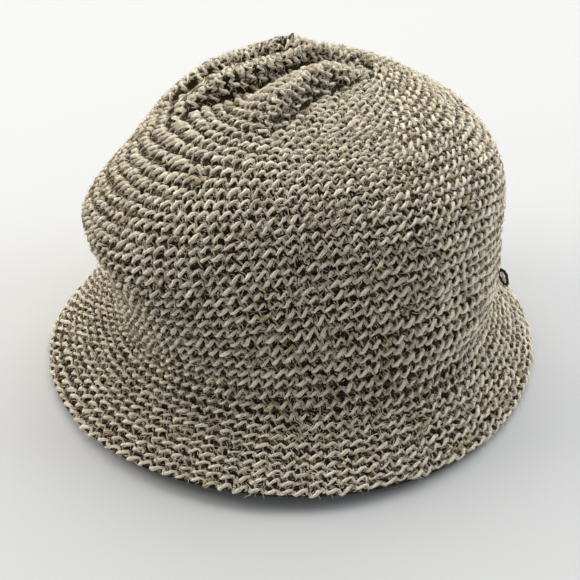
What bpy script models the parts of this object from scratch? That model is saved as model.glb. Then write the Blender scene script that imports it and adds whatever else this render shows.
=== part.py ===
"""Knitted cloche hat: one continuous wool knit, from the rim of the flared brim to the pleated crown.

Metres, +Z up.  The front of the hat faces -Y and the origin is on the floor, below the middle of the rim.
Bearings are degrees from +X, anticlockwise seen from above, so the front is at 270 and the left at 180.
"""
import math
from collections import namedtuple

import bmesh
import bpy
import numpy as np

MM = 0.001

# Driving sizes
HAT_HEIGHT = 147.0 * MM
HALF_WIDTH = 95.0 * MM
HALF_LENGTH = 97.0 * MM
WALL = 4.0 * MM
RIM_DROP = 1.4 * MM
FRONT_LIFT = 6.5 * MM
FRONT_LIFT_BEARING = 258.0
FRONT_LIFT_SPREAD = 46.0
FRONT_LIFT_ENDS_AT = 0.30

# Mesh fineness
COLUMNS = 240
OUTER_STEPS = 3
INNER_STEPS = 1
RIM_ROLL_STEPS = 6
PATH_SAMPLES = 161
KEPT_FACES = 0.15

# The main form, ring by ring from the rim to the gathered top.
# run: way up the surface, 0 to 1.  height: share of HAT_HEIGHT.
# width and right: shares of HALF_WIDTH.  front, back and rear: shares of HALF_LENGTH.
# right and rear move the middle of the ring.  square: exponent of the outline, 2 is an ellipse.
# steps: mesh rows from this ring to the next.
Section = namedtuple("Section", "run height width front back right rear square steps")
SECTIONS = (
    Section(0.00, 0.030, 1.265, 1.290, 1.240, 0.000, 0.00, 2.0, 3),
    Section(0.10, 0.070, 1.195, 1.225, 1.175, 0.010, 0.00, 2.0, 3),
    Section(0.20, 0.140, 1.080, 1.100, 1.080, 0.020, 0.00, 2.1, 2),
    Section(0.27, 0.210, 0.995, 1.000, 1.020, 0.025, 0.00, 2.2, 2),
    Section(0.36, 0.340, 1.000, 0.965, 1.000, 0.030, 0.00, 2.3, 2),
    Section(0.47, 0.490, 1.000, 0.930, 1.000, 0.020, 0.00, 2.3, 2),
    Section(0.57, 0.630, 0.960, 0.865, 0.980, 0.040, 0.00, 2.3, 3),
    Section(0.66, 0.760, 0.845, 0.775, 0.885, 0.075, 0.00, 2.2, 4),
    Section(0.75, 0.842, 0.660, 0.650, 0.690, 0.100, 0.03, 2.1, 6),
    Section(0.83, 0.874, 0.500, 0.560, 0.480, 0.160, 0.13, 2.0, 6),
    Section(0.91, 0.881, 0.275, 0.450, 0.255, 0.260, 0.26, 2.0, 3),
    Section(0.96, 0.874, 0.130, 0.220, 0.120, 0.330, 0.35, 2.0, 2),
    Section(1.00, 0.866, 0.000, 0.000, 0.000, 0.380, 0.41, 2.0, 0),
)

# Soft swellings and hollows of the wall.
# bearing: degrees.  run: level.  out: push from the axis, share of WALL.  lift: share of WALL.
# spread: half width in degrees.  reach: half height in run.
Dent = namedtuple("Dent", "name bearing run out lift spread reach")
DENTS = (
    Dent("left_front_bulge", 222, 0.54, 2.10, 0.00, 24, 0.13),
    Dent("left_crease", 198, 0.30, -2.30, 0.00, 42, 0.09),
    Dent("left_rear_wall", 158, 0.60, -1.90, 0.00, 20, 0.12),
    Dent("left_waist", 204, 0.44, -2.80, 0.00, 22, 0.06),
    Dent("left_bulge", 192, 0.55, 0.80, 0.00, 14, 0.06),
    Dent("left_rear_brim", 151, 0.00, -1.60, 0.00, 20, 0.10),
    Dent("right_crease", 350, 0.27, -0.25, 0.00, 30, 0.07),
    Dent("left_shoulder", 185, 0.73, -2.00, 0.00, 40, 0.10),
    Dent("right_shoulder", 345, 0.64, 0.90, 0.00, 22, 0.09),
    Dent("front_right_corner", 306, 0.60, 0.75, 0.00, 13, 0.20),
    Dent("right_top", 30, 0.76, 0.00, -0.80, 45, 0.12),
)

# Pleats across the top: each ridge passes three points in plan, given as shares of HALF_WIDTH.
# high: share of WALL.  climb: width of the long side, share of WALL.  lean: of the ridge, share of WALL.
# fade_in: share of the length over which the ridge rises at its front end.
Pleat = namedtuple("Pleat", "name front_x front_y mid_x mid_y rear_x rear_y high climb lean fade_in")
PLEATS = (
    Pleat("left_pleat", -0.70, 0.27, -0.36, 0.36, 0.25, 0.75, 1.50, 5.0, 0.60, 0.45),
    Pleat("middle_pleat", -0.60, 0.02, -0.20, 0.16, 0.40, 0.55, 2.40, 5.0, 0.60, 0.45),
    Pleat("front_pleat", -0.14, -0.38, 0.06, 0.06, 0.44, 0.36, 2.50, 5.5, 0.60, 0.30),
)
PLEAT_FALL = 0.70
PLEAT_GROOVE = 0.38
PLEAT_GROOVE_WIDTH = 2.0
PLEAT_FADE_OUT = 0.80
PLEATS_START_RUN = 0.55
PLEATS_FULL_RUN = 0.68
PLEATS_FADE_RUN = 0.94
PLEATS_END_RUN = 1.00

WOOL_COLOUR = (0.245, 0.205, 0.150, 1.0)
WOOL_ROUGHNESS = 0.95


def smooth_step(low, high, value):
    share = np.clip((value - low) / (high - low), 0.0, 1.0)
    return share * share * (3.0 - 2.0 * share)


def column(name, run):
    """Read one column of the section table at any run, on a smooth curve through the rows."""
    at = np.array([row.run for row in SECTIONS])
    values = np.array([getattr(row, name) for row in SECTIONS])
    width = np.diff(at)
    slope = np.diff(values) / width
    tangent = np.empty_like(values)
    tangent[0] = slope[0]
    tangent[-1] = slope[-1]
    tangent[1:-1] = (slope[1:] * width[:-1] + slope[:-1] * width[1:]) / (at[2:] - at[:-2])
    run = np.clip(run, at[0], at[-1])
    cell = np.clip(np.searchsorted(at, run, side="right") - 1, 0, len(at) - 2)
    step = width[cell]
    share = (run - at[cell]) / step
    rest = 1.0 - share
    start = (1.0 + 2.0 * share) * rest ** 2 * values[cell] + share * rest ** 2 * step * tangent[cell]
    end = share ** 2 * (3.0 - 2.0 * share) * values[cell + 1] - share ** 2 * rest * step * tangent[cell + 1]
    return start + end


def turn_between(bearing, other):
    return (bearing - other + 180.0) % 360.0 - 180.0


def facing(run):
    """Outward and upward shares of the direction square to the side view's outline."""
    step = 0.01
    low = np.clip(run - step, 0.0, 1.0)
    high = np.clip(run + step, 0.0, 1.0)
    narrowing = (column("width", low) - column("width", high)) * HALF_WIDTH
    rising = (column("height", high) - column("height", low)) * HAT_HEIGHT
    length = np.hypot(narrowing, rising)
    return rising / length, narrowing / length


def plain_form(bearing, run, depth=0.0):
    """The form without its pleats: rings, dents and the lifted front, at a depth below the outer face."""
    half_width = np.maximum(column("width", run) * HALF_WIDTH, 0.001 * MM)
    front = np.maximum(column("front", run) * HALF_LENGTH, 0.001 * MM)
    back = np.maximum(column("back", run) * HALF_LENGTH, 0.001 * MM)
    square = column("square", run)
    across = np.cos(np.radians(bearing))
    along = np.sin(np.radians(bearing))
    half_length = np.where(along < 0.0, front, back)
    reach = (np.abs(across / half_width) ** square + np.abs(along / half_length) ** square) ** (-1.0 / square)
    height = column("height", run) * HAT_HEIGHT
    closing = smooth_step(1.0, 0.90, run)
    for dent in DENTS:
        weight = np.exp(-(turn_between(bearing, dent.bearing) / dent.spread) ** 2
                        - ((run - dent.run) / dent.reach) ** 2)
        reach = reach + dent.out * WALL * weight * closing
        height = height + dent.lift * WALL * weight
    lifted = np.exp(-(turn_between(bearing, FRONT_LIFT_BEARING) / FRONT_LIFT_SPREAD) ** 2)
    height = height + FRONT_LIFT * lifted * smooth_step(FRONT_LIFT_ENDS_AT, 0.0, run)
    sideways, upward = facing(run)
    reach = np.maximum(reach - depth * sideways * closing, 0.01 * MM)
    height = height - depth * upward
    x = column("right", run) * HALF_WIDTH + reach * across
    y = column("rear", run) * HALF_LENGTH + reach * along
    return np.stack([x, y, height], axis=-1)


def pleat_path(pleat):
    """Points and headings of a ridge in plan."""
    share = np.linspace(0.0, 1.0, PATH_SAMPLES)[:, None]
    front = np.array([pleat.front_x, pleat.front_y]) * HALF_WIDTH
    middle = np.array([pleat.mid_x, pleat.mid_y]) * HALF_WIDTH
    rear = np.array([pleat.rear_x, pleat.rear_y]) * HALF_WIDTH
    pull = 2.0 * middle - 0.5 * (front + rear)
    points = (1.0 - share) ** 2 * front + 2.0 * share * (1.0 - share) * pull + share ** 2 * rear
    heading = np.gradient(points, axis=0)
    heading = heading / np.linalg.norm(heading, axis=1, keepdims=True)
    return points, heading


def add_pleat(points, run, pleat):
    """Raise one knife pleat: a long climb on its left, a leaning ridge and a steep fall into a groove."""
    path, heading = pleat_path(pleat)
    length = np.linalg.norm(np.diff(path, axis=0), axis=1).sum()
    plan = points[..., :2].reshape(-1, 2)
    nearest = ((plan[:, None, :] - path[None, :, :]) ** 2).sum(axis=2).argmin(axis=1)
    offset = plan - path[nearest]
    ahead = heading[nearest]
    along = nearest / (PATH_SAMPLES - 1.0) + (offset * ahead).sum(axis=1) / length
    across = ahead[:, 1] * offset[:, 0] - ahead[:, 0] * offset[:, 1]
    side = np.stack([ahead[:, 1], -ahead[:, 0], np.zeros(len(ahead))], axis=1)
    level = run.reshape(-1)
    strength = smooth_step(0.0, pleat.fade_in, along) * smooth_step(1.0, PLEAT_FADE_OUT, along)
    strength = strength * smooth_step(PLEATS_START_RUN, PLEATS_FULL_RUN, level)
    strength = strength * smooth_step(PLEATS_END_RUN, PLEATS_FADE_RUN, level)
    climb_width = pleat.climb * WALL
    climb = 0.5 + 0.5 * np.cos(math.pi * np.clip(across / climb_width, -1.0, 0.0))
    fall = (1.0 + PLEAT_GROOVE) * np.exp(-(across / (PLEAT_FALL * WALL)) ** 2)
    fall = fall - PLEAT_GROOVE * np.exp(-(across / (PLEAT_GROOVE_WIDTH * WALL)) ** 2)
    rise = np.where(across < 0.0, climb, fall) * strength * pleat.high * WALL
    lean = np.exp(-((across / WALL - 0.25) / 0.75) ** 2) * strength * pleat.lean * WALL
    moved = lean[:, None] * side
    moved[:, 2] = rise
    return points + moved.reshape(points.shape)


def outer_form(bearing, run):
    points = plain_form(bearing, run)
    for pleat in PLEATS:
        points = add_pleat(points, run, pleat)
    return points


def mesh_runs(steps_per_step):
    """Runs of the mesh rows, below the closing point."""
    runs = []
    for lower, upper in zip(SECTIONS[:-1], SECTIONS[1:]):
        steps = lower.steps * steps_per_step
        runs += [lower.run + (upper.run - lower.run) * step / steps for step in range(steps)]
    return np.array(runs)


def rim_roll(bearings):
    """Half-round rows round the rim, from the outer face to the inner face."""
    at_rim = np.zeros(COLUMNS)
    middle = plain_form(bearings, at_rim, 0.5 * WALL)
    square_on = plain_form(bearings, at_rim) - middle
    below = middle - plain_form(bearings, at_rim + 0.01, 0.5 * WALL)
    below = below * (0.5 * WALL / np.linalg.norm(below, axis=1, keepdims=True))
    rows = []
    for step in range(1, RIM_ROLL_STEPS):
        angle = math.pi * step / RIM_ROLL_STEPS
        rows.append(middle + math.cos(angle) * square_on + math.sin(angle) * below)
    return rows


def rest_on_floor(points):
    """Centre the brim over the origin, lower the hat by RIM_DROP and flatten what would sink below the floor."""
    placed = points.copy()
    placed[..., 1] += 0.5 * (SECTIONS[0].front - SECTIONS[0].back) * HALF_LENGTH
    placed[..., 2] = np.maximum(placed[..., 2] - RIM_DROP, 0.0)
    return placed


def knit_body():
    """The whole hat as one closed shell: outer face, rolled rim and inner face."""
    bearings = 360.0 * np.arange(COLUMNS) / COLUMNS
    outer_runs = mesh_runs(OUTER_STEPS)
    inner_runs = mesh_runs(INNER_STEPS)
    rings = [outer_form(bearings, np.full(COLUMNS, run)) for run in outer_runs[::-1]]
    rings += rim_roll(bearings)
    rings += [plain_form(bearings, np.full(COLUMNS, run), WALL) for run in inner_runs]
    top = np.array([0.0])
    tip = outer_form(top, np.array([1.0]))[0]
    hollow_tip = plain_form(top, np.array([1.0]), WALL)[0]
    mesh = bmesh.new()
    loops = [[mesh.verts.new(point) for point in rest_on_floor(ring)] for ring in rings]
    first = mesh.verts.new(rest_on_floor(tip))
    last = mesh.verts.new(rest_on_floor(hollow_tip))
    for index in range(COLUMNS):
        following = (index + 1) % COLUMNS
        mesh.faces.new((first, loops[0][index], loops[0][following]))
        for above, below in zip(loops[:-1], loops[1:]):
            mesh.faces.new((above[index], below[index], below[following], above[following]))
        mesh.faces.new((last, loops[-1][following], loops[-1][index]))
    bmesh.ops.triangulate(mesh, faces=mesh.faces[:])
    bmesh.ops.recalc_face_normals(mesh, faces=mesh.faces[:])
    data = bpy.data.meshes.new("knit_body")
    mesh.to_mesh(data)
    mesh.free()
    body = bpy.data.objects.new("knit_body", data)
    bpy.context.scene.collection.objects.link(body)
    thin_out = body.modifiers.new("thin_out_flat_parts", "DECIMATE")
    thin_out.ratio = KEPT_FACES
    return body


def wool_material():
    material = bpy.data.materials.new("marled_wool_knit")
    material.use_nodes = True
    shader = material.node_tree.nodes["Principled BSDF"]
    shader.inputs["Base Color"].default_value = WOOL_COLOUR
    shader.inputs["Roughness"].default_value = WOOL_ROUGHNESS
    shader.inputs["Metallic"].default_value = 0.0
    material.diffuse_color = WOOL_COLOUR
    return material


def main():
    for leftover in list(bpy.data.objects):
        bpy.data.objects.remove(leftover, do_unlink=True)
    body = knit_body()
    body.data.materials.append(wool_material())
    body.data.shade_smooth()


main()
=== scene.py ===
"""Knitted cloche hat: its stitches, fuzz and studio.

Metres, +Z up.  The front of the hat faces -Y and the origin is on the floor, below the middle of the rim.
Bearings are degrees from +X, anticlockwise seen from above.  A run is the way up the hat, 0 at the rim and
1 at the gathered top.  Every row of stitches is light yarn in slanting bars over dark yarn.
"""
import math
from collections import namedtuple

import bpy
import numpy as np
from mathutils import Matrix, Vector


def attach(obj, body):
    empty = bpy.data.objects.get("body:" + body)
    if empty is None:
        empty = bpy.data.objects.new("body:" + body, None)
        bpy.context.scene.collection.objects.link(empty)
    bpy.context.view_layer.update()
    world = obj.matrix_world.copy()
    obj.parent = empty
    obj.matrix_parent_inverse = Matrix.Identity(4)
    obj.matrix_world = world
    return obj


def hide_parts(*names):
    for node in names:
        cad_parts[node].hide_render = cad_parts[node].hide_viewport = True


bl_info = {
    "name": "Knitted cloche hat",
    "version": (1, 0, 0),
    "blender": (4, 5, 0),
    "location": "View3D > Sidebar > Cloche hat",
    "description": "Knits marled yarn over the form of a cloche hat and sets a pale studio round it",
    "category": "Add Mesh",
}

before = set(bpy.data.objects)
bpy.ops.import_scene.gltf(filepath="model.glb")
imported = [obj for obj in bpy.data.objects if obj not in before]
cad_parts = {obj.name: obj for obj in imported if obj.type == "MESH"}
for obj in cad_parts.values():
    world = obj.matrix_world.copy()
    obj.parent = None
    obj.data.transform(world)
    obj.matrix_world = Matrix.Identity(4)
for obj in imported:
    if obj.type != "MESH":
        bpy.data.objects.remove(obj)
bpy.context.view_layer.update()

MM = 0.001
BODY = "root"
NODE = "knit_body"

# The form of the hat, with the same sizes and tables as the part
HAT_HEIGHT = 147.0 * MM
HALF_WIDTH = 95.0 * MM
HALF_LENGTH = 97.0 * MM
WALL = 4.0 * MM
RIM_DROP = 1.4 * MM
FRONT_LIFT = 6.5 * MM
FRONT_LIFT_BEARING = 258.0
FRONT_LIFT_SPREAD = 46.0
FRONT_LIFT_ENDS_AT = 0.30
PATH_SAMPLES = 161
FACING_STEP = 0.01
CLOSING_RUN = 0.90
LEAST_HALF = 0.001 * MM
LEAST_REACH = 0.01 * MM

# Rings from the rim to the top: height in shares of HAT_HEIGHT, width and right in shares of HALF_WIDTH,
# front, back and rear in shares of HALF_LENGTH; square is the exponent of the outline, 2 for an ellipse
Section = namedtuple("Section", "run height width front back right rear square")
SECTIONS = (
    Section(0.00, 0.030, 1.265, 1.290, 1.240, 0.000, 0.00, 2.0),
    Section(0.10, 0.070, 1.195, 1.225, 1.175, 0.010, 0.00, 2.0),
    Section(0.20, 0.140, 1.080, 1.100, 1.080, 0.020, 0.00, 2.1),
    Section(0.27, 0.210, 0.995, 1.000, 1.020, 0.025, 0.00, 2.2),
    Section(0.36, 0.340, 1.000, 0.965, 1.000, 0.030, 0.00, 2.3),
    Section(0.47, 0.490, 1.000, 0.930, 1.000, 0.020, 0.00, 2.3),
    Section(0.57, 0.630, 0.960, 0.865, 0.980, 0.040, 0.00, 2.3),
    Section(0.66, 0.760, 0.845, 0.775, 0.885, 0.075, 0.00, 2.2),
    Section(0.75, 0.842, 0.660, 0.650, 0.690, 0.100, 0.03, 2.1),
    Section(0.83, 0.874, 0.500, 0.560, 0.480, 0.160, 0.13, 2.0),
    Section(0.91, 0.881, 0.275, 0.450, 0.255, 0.260, 0.26, 2.0),
    Section(0.96, 0.874, 0.130, 0.220, 0.120, 0.330, 0.35, 2.0),
    Section(1.00, 0.866, 0.000, 0.000, 0.000, 0.380, 0.41, 2.0),
)

# Soft swellings and hollows: bearing and spread in degrees, out and lift in shares of WALL, reach in run
Dent = namedtuple("Dent", "name bearing run out lift spread reach")
DENTS = (
    Dent("left_front_bulge", 222, 0.54, 2.10, 0.00, 24, 0.13),
    Dent("left_crease", 198, 0.30, -2.30, 0.00, 42, 0.09),
    Dent("left_rear_wall", 158, 0.60, -1.90, 0.00, 20, 0.12),
    Dent("left_waist", 204, 0.44, -2.80, 0.00, 22, 0.06),
    Dent("left_bulge", 192, 0.55, 0.80, 0.00, 14, 0.06),
    Dent("left_rear_brim", 151, 0.00, -1.60, 0.00, 20, 0.10),
    Dent("right_crease", 350, 0.27, -0.25, 0.00, 30, 0.07),
    Dent("left_shoulder", 185, 0.73, -2.00, 0.00, 40, 0.10),
    Dent("right_shoulder", 345, 0.64, 0.90, 0.00, 22, 0.09),
    Dent("front_right_corner", 306, 0.60, 0.75, 0.00, 13, 0.20),
    Dent("right_top", 30, 0.76, 0.00, -0.80, 45, 0.12),
)

# Ridges through three points in plan, in shares of HALF_WIDTH; high, climb and lean in shares of WALL
Pleat = namedtuple("Pleat", "name front_x front_y mid_x mid_y rear_x rear_y high climb lean fade_in")
PLEATS = (
    Pleat("left_pleat", -0.70, 0.27, -0.36, 0.36, 0.25, 0.75, 1.50, 5.0, 0.60, 0.45),
    Pleat("middle_pleat", -0.60, 0.02, -0.20, 0.16, 0.40, 0.55, 2.40, 5.0, 0.60, 0.45),
    Pleat("front_pleat", -0.14, -0.38, 0.06, 0.06, 0.44, 0.36, 2.50, 5.5, 0.60, 0.30),
)
PLEAT_FALL = 0.70
PLEAT_GROOVE = 0.38
PLEAT_GROOVE_WIDTH = 2.0
PLEAT_FADE_OUT = 0.80
PLEAT_LEAN_AT = 0.25
PLEAT_LEAN_WIDTH = 0.75
PLEATS_START_RUN = 0.55
PLEATS_FULL_RUN = 0.68
PLEATS_FADE_RUN = 0.94
PLEATS_END_RUN = 1.00

# How the rows of stitches are laid out
ROW_BEARINGS = 720
ROW_MAP_BEARINGS = 240
ROW_MAP_RUNS = 401
ROUND_START_BEARING = 90.0
FEWEST_STITCHES = 5
CLOSEST_PITCH = 2.9 * MM
LEAST_WIDTH_SHARE = 0.8
STRAIGHT_ENOUGH = 0.94

# Rows of stitches passed by each run on the way up
Zone = namedtuple("Zone", "run rows")
ZONES = (
    Zone(0.00, 0.0),
    Zone(0.27, 9.0),
    Zone(0.47, 16.5),
    Zone(0.60, 22.5),
    Zone(0.75, 30.5),
    Zone(1.00, 54.5),
)

# Small waves of every row, in shares of the row spacing
Wave = namedtuple("Wave", "waves rows")
ROW_WANDER = (Wave(3, 0.04), Wave(8, 0.04), Wave(19, 0.05))
ROW_WANDER_SEED = 31

# Places where the rows hang lower on the wall than even spacing puts them, or higher where below zero
Sag = namedtuple("Sag", "bearing spread rows")
SAGS = (
    Sag(168, 55, 5.5),
    Sag(226, 32, 0.9),
    Sag(315, 36, -1.9),
    Sag(12, 40, 2.0),
)
SAG_STARTS_RUN = 0.12
SAG_FULL_RUN = 0.50
SAG_FADES_RUN = 0.62
SAG_ENDS_RUN = 0.97

# How each yarn bends in a stitch of the reference width and pitch
REFERENCE_WIDTH = 5.2 * MM
REFERENCE_PITCH = 5.2 * MM
LIGHT_BAR = {
    "Thin ends": 0.45, "Club": 0.14, "Half reach": 2.65 * MM, "Half rise": 1.50 * MM, "Slant": 0.24,
    "Turns": 1.18, "Bow": 0.90 * MM, "Sink": 1.65 * MM, "Lengths": 8, "Sides": 5,
    "Turn spread": 0.20, "Place spread": 0.32 * MM, "Size spread": 0.15, "Wobble": 0.60 * MM,
}
DARK_PAD = {
    "Thin ends": 0.20, "Club": 0.00, "Half reach": 2.65 * MM, "Half rise": 0.95 * MM, "Slant": 0.20,
    "Turns": 1.00, "Bow": 0.55 * MM, "Shift along": -0.50 * MM, "Sink": 2.75 * MM, "Lengths": 6, "Sides": 4,
    "Turn spread": 0.25, "Place spread": 0.30 * MM, "Size spread": 0.15, "Wobble": 0.40 * MM,
}
THIN_STRAND = {
    "Thin ends": 0.30, "Club": 0.10, "Half reach": 0.80 * MM, "Half rise": -1.90 * MM, "Slant": 0.10,
    "Turns": 0.50, "Bow": 0.70 * MM, "Shift along": -0.30 * MM, "Sink": 1.35 * MM, "Lengths": 5, "Sides": 3,
    "Turn spread": 0.40, "Place spread": 0.60 * MM, "Size spread": 0.25, "Wobble": 0.40 * MM,
}

TURN_SEED = 11.0
STRAY_SEED = 23.0
WOBBLE_GAIN = 4.0

# The yarns: shape, finish, how many pieces share the rows, whether they lie in the gap below their stitch,
# how many neighbours share a tint, and what is added to the seed for the tints and for the laying
Yarn = namedtuple("Yarn", "radius shape finish pieces in_gap tint_runs tint_seed laying_seed")
YARNS = {
    "dark_yarn": Yarn("dark_radius", DARK_PAD, "dark_marl", 2, True, 2, 40, 50),
    "thin_strands": Yarn("strand_radius", THIN_STRAND, "strand_marl", 1, True, 1, 80, 90),
    "light_yarn": Yarn("light_radius", LIGHT_BAR, "light_marl", 3, False, 1, 0, 0),
}

# The dark ground under the stitches
GROUND_COLUMNS = 180
GROUND_RUNS = 80
GROUND_TOP_RUN = 0.995
GROUND_SINK = 3.0 * MM

# Heights above the floor below which the ground and the yarn are flattened
GROUND_FLOOR = 0.3 * MM
YARN_FLOOR = 0.05 * MM

# The loop of loose yarn and the light strand in it
LOOP_BEARING = 14.0
LOOP_RUN = 0.135
LOOP_HALF_HEIGHT = 5.0 * MM
LOOP_HALF_WIDTH = 1.8 * MM
LOOP_RADIUS = 0.75 * MM
LOOP_ROUGHNESS = 0.35 * MM
LOOP_LEAN = -0.40
LOOP_RAISED = 0.6
LOOP_WAVES = (7.0, 3.0)
LOOP_POINTS = 40
CORE_RADIUS = 0.9 * LOOP_RADIUS
CORE_STARTS = -0.10
CORE_LENGTH = 1.4
CORE_POINTS = 9
CORE_END_ROUNDING = 0.12
TUBE_SIDES = 8
TUBE_ASIDE = (0.3, -1.0, 0.2)
TUBE_STITCHES = 6.0

# Loose fibres: share of all, where they root in a stitch, their size in millimetres, their lean in radians
Fuzz = namedtuple("Fuzz", "name share in_gap spread sink width length curl least_lean most_lean finish")
FUZZ = (
    Fuzz("fuzz_on_yarn", 0.50, False, 0.7, 0.90, 0.20, 1.8, 0.60, 0.70, 1.45, "loose_fibre"),
    Fuzz("fuzz_in_gaps", 0.18, True, 0.5, 1.80, 0.22, 2.4, 0.55, 1.05, 1.50, "gap_fibre"),
    Fuzz("fuzz_halo", 0.32, False, 1.0, 1.10, 0.21, 2.9, 0.60, 0.10, 0.95, "loose_fibre"),
)
FUZZ_ROOT_SEED = 200
FUZZ_SIZE_SEED = 210

# The finish of each yarn: its colours by their names in the settings, then shares and strengths; contrast
# sets how far the painted shade of the ply grooves and the random fibre tone darken and lighten the colour
Finish = namedtuple("Finish", "main other fleck_one fleck_two fleck_share contrast fuzz sheen")
FINISHES = {
    # dark_marl is near-black: partly the dark yarn's own colour, partly painted shade of the deep gaps
    # between the bars
    "dark_marl": Finish("dark", "dark_other", "rust", "wine", 0.24, 1.20, 0.8, 0.05),
    "strand_marl": Finish("strand", "light_other", "gold", "rust", 0.20, 1.00, 0.6, 0.10),
    "light_marl": Finish("light", "light_other", "gold", "rose", 0.07, 1.45, 0.8, 0.25),
    "loose_fibre": Finish("light", "light_other", "gold", "dark_other", 0.25, 0.20, 0.2, 0.40),
    "gap_fibre": Finish("gap", "strand", "gold", "rust", 0.20, 0.20, 0.2, 0.20),
}
PATCH_RANGE = (0.38, 0.60)
FIBRE_RANGE = (0.36, 0.62)
HAIR_RANGE = (0.36, 0.64)
HAIR_LENGTHWISE = 2.2
HAIR_AROUND = 2.6
HAIR_TINT_SHIFT = 60.0
WOOL_ROUGHNESS = 0.9
WOOL_SPECULAR = 0.2
SHEEN_ROUGHNESS = 0.5
SHEEN_TINT = (1.0, 0.97, 0.92, 1.0)
BUMP_STRENGTH = 0.6
BUMP_DISTANCE = 0.35 * MM

# The studio: each lamp's power is a share of the window light
Lamp = namedtuple("Lamp", "name place size share colour")
LAMPS = (
    Lamp("window", (0.05, 0.66, 1.12), 1.4, 1.00, (1.0, 0.975, 0.945)),
    Lamp("left_side", (-0.95, 0.15, 0.75), 0.8, 0.50, (1.0, 0.96, 0.86)),
    Lamp("right_side", (0.95, 0.20, 0.75), 0.8, 0.36, (0.92, 0.97, 1.0)),
)
LAMP_TARGET = (0.0, 0.0, 0.05)
SKY_COLOUR = (0.89, 0.94, 1.0, 1.0)
FLOOR_HALF = 3.0
FLOOR_MOTTLE_SCALE = 4.0
FLOOR_MOTTLE = 1.03
FLOOR_ROUGHNESS = 0.7
FLOOR_SPECULAR = 0.2
PICTURE_PIXELS = 580.0
SENSOR_WIDTH = 36.0
CLIP_END = 20.0


def smooth_step(low, high, value):
    share = np.clip((value - low) / (high - low), 0.0, 1.0)
    return share * share * (3.0 - 2.0 * share)


def column(name, run):
    """Read one column of the section table at any run, on a smooth curve through the rows."""
    at = np.array([row.run for row in SECTIONS])
    values = np.array([getattr(row, name) for row in SECTIONS])
    width = np.diff(at)
    slope = np.diff(values) / width
    tangent = np.empty_like(values)
    tangent[0] = slope[0]
    tangent[-1] = slope[-1]
    tangent[1:-1] = (slope[1:] * width[:-1] + slope[:-1] * width[1:]) / (at[2:] - at[:-2])
    run = np.clip(run, at[0], at[-1])
    cell = np.clip(np.searchsorted(at, run, side="right") - 1, 0, len(at) - 2)
    step = width[cell]
    share = (run - at[cell]) / step
    rest = 1.0 - share
    start = (1.0 + 2.0 * share) * rest ** 2 * values[cell] + share * rest ** 2 * step * tangent[cell]
    end = share ** 2 * (3.0 - 2.0 * share) * values[cell + 1] - share ** 2 * rest * step * tangent[cell + 1]
    return start + end


def turn_between(bearing, other):
    return (bearing - other + 180.0) % 360.0 - 180.0


def facing(run):
    """Outward and upward shares of the direction square to the side view's outline."""
    low = np.clip(run - FACING_STEP, 0.0, 1.0)
    high = np.clip(run + FACING_STEP, 0.0, 1.0)
    narrowing = (column("width", low) - column("width", high)) * HALF_WIDTH
    rising = (column("height", high) - column("height", low)) * HAT_HEIGHT
    length = np.hypot(narrowing, rising)
    return rising / length, narrowing / length


def plain_form(bearing, run, depth=0.0):
    """The form without its pleats, at a depth below the outer face."""
    half_width = np.maximum(column("width", run) * HALF_WIDTH, LEAST_HALF)
    front = np.maximum(column("front", run) * HALF_LENGTH, LEAST_HALF)
    back = np.maximum(column("back", run) * HALF_LENGTH, LEAST_HALF)
    square = column("square", run)
    across = np.cos(np.radians(bearing))
    along = np.sin(np.radians(bearing))
    half_length = np.where(along < 0.0, front, back)
    reach = (np.abs(across / half_width) ** square + np.abs(along / half_length) ** square) ** (-1.0 / square)
    height = column("height", run) * HAT_HEIGHT
    closing = smooth_step(1.0, CLOSING_RUN, run)
    for dent in DENTS:
        weight = np.exp(-(turn_between(bearing, dent.bearing) / dent.spread) ** 2
                        - ((run - dent.run) / dent.reach) ** 2)
        reach = reach + dent.out * WALL * weight * closing
        height = height + dent.lift * WALL * weight
    lifted = np.exp(-(turn_between(bearing, FRONT_LIFT_BEARING) / FRONT_LIFT_SPREAD) ** 2)
    height = height + FRONT_LIFT * lifted * smooth_step(FRONT_LIFT_ENDS_AT, 0.0, run)
    sideways, upward = facing(run)
    reach = np.maximum(reach - depth * sideways * closing, LEAST_REACH)
    height = height - depth * upward
    x = column("right", run) * HALF_WIDTH + reach * across
    y = column("rear", run) * HALF_LENGTH + reach * along
    return np.stack([x, y, height], axis=-1)


def pleat_path(pleat):
    """Points and headings of a ridge in plan."""
    share = np.linspace(0.0, 1.0, PATH_SAMPLES)[:, None]
    front = np.array([pleat.front_x, pleat.front_y]) * HALF_WIDTH
    middle = np.array([pleat.mid_x, pleat.mid_y]) * HALF_WIDTH
    rear = np.array([pleat.rear_x, pleat.rear_y]) * HALF_WIDTH
    pull = 2.0 * middle - 0.5 * (front + rear)
    points = (1.0 - share) ** 2 * front + 2.0 * share * (1.0 - share) * pull + share ** 2 * rear
    heading = np.gradient(points, axis=0)
    heading = heading / np.linalg.norm(heading, axis=1, keepdims=True)
    return points, heading


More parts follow.
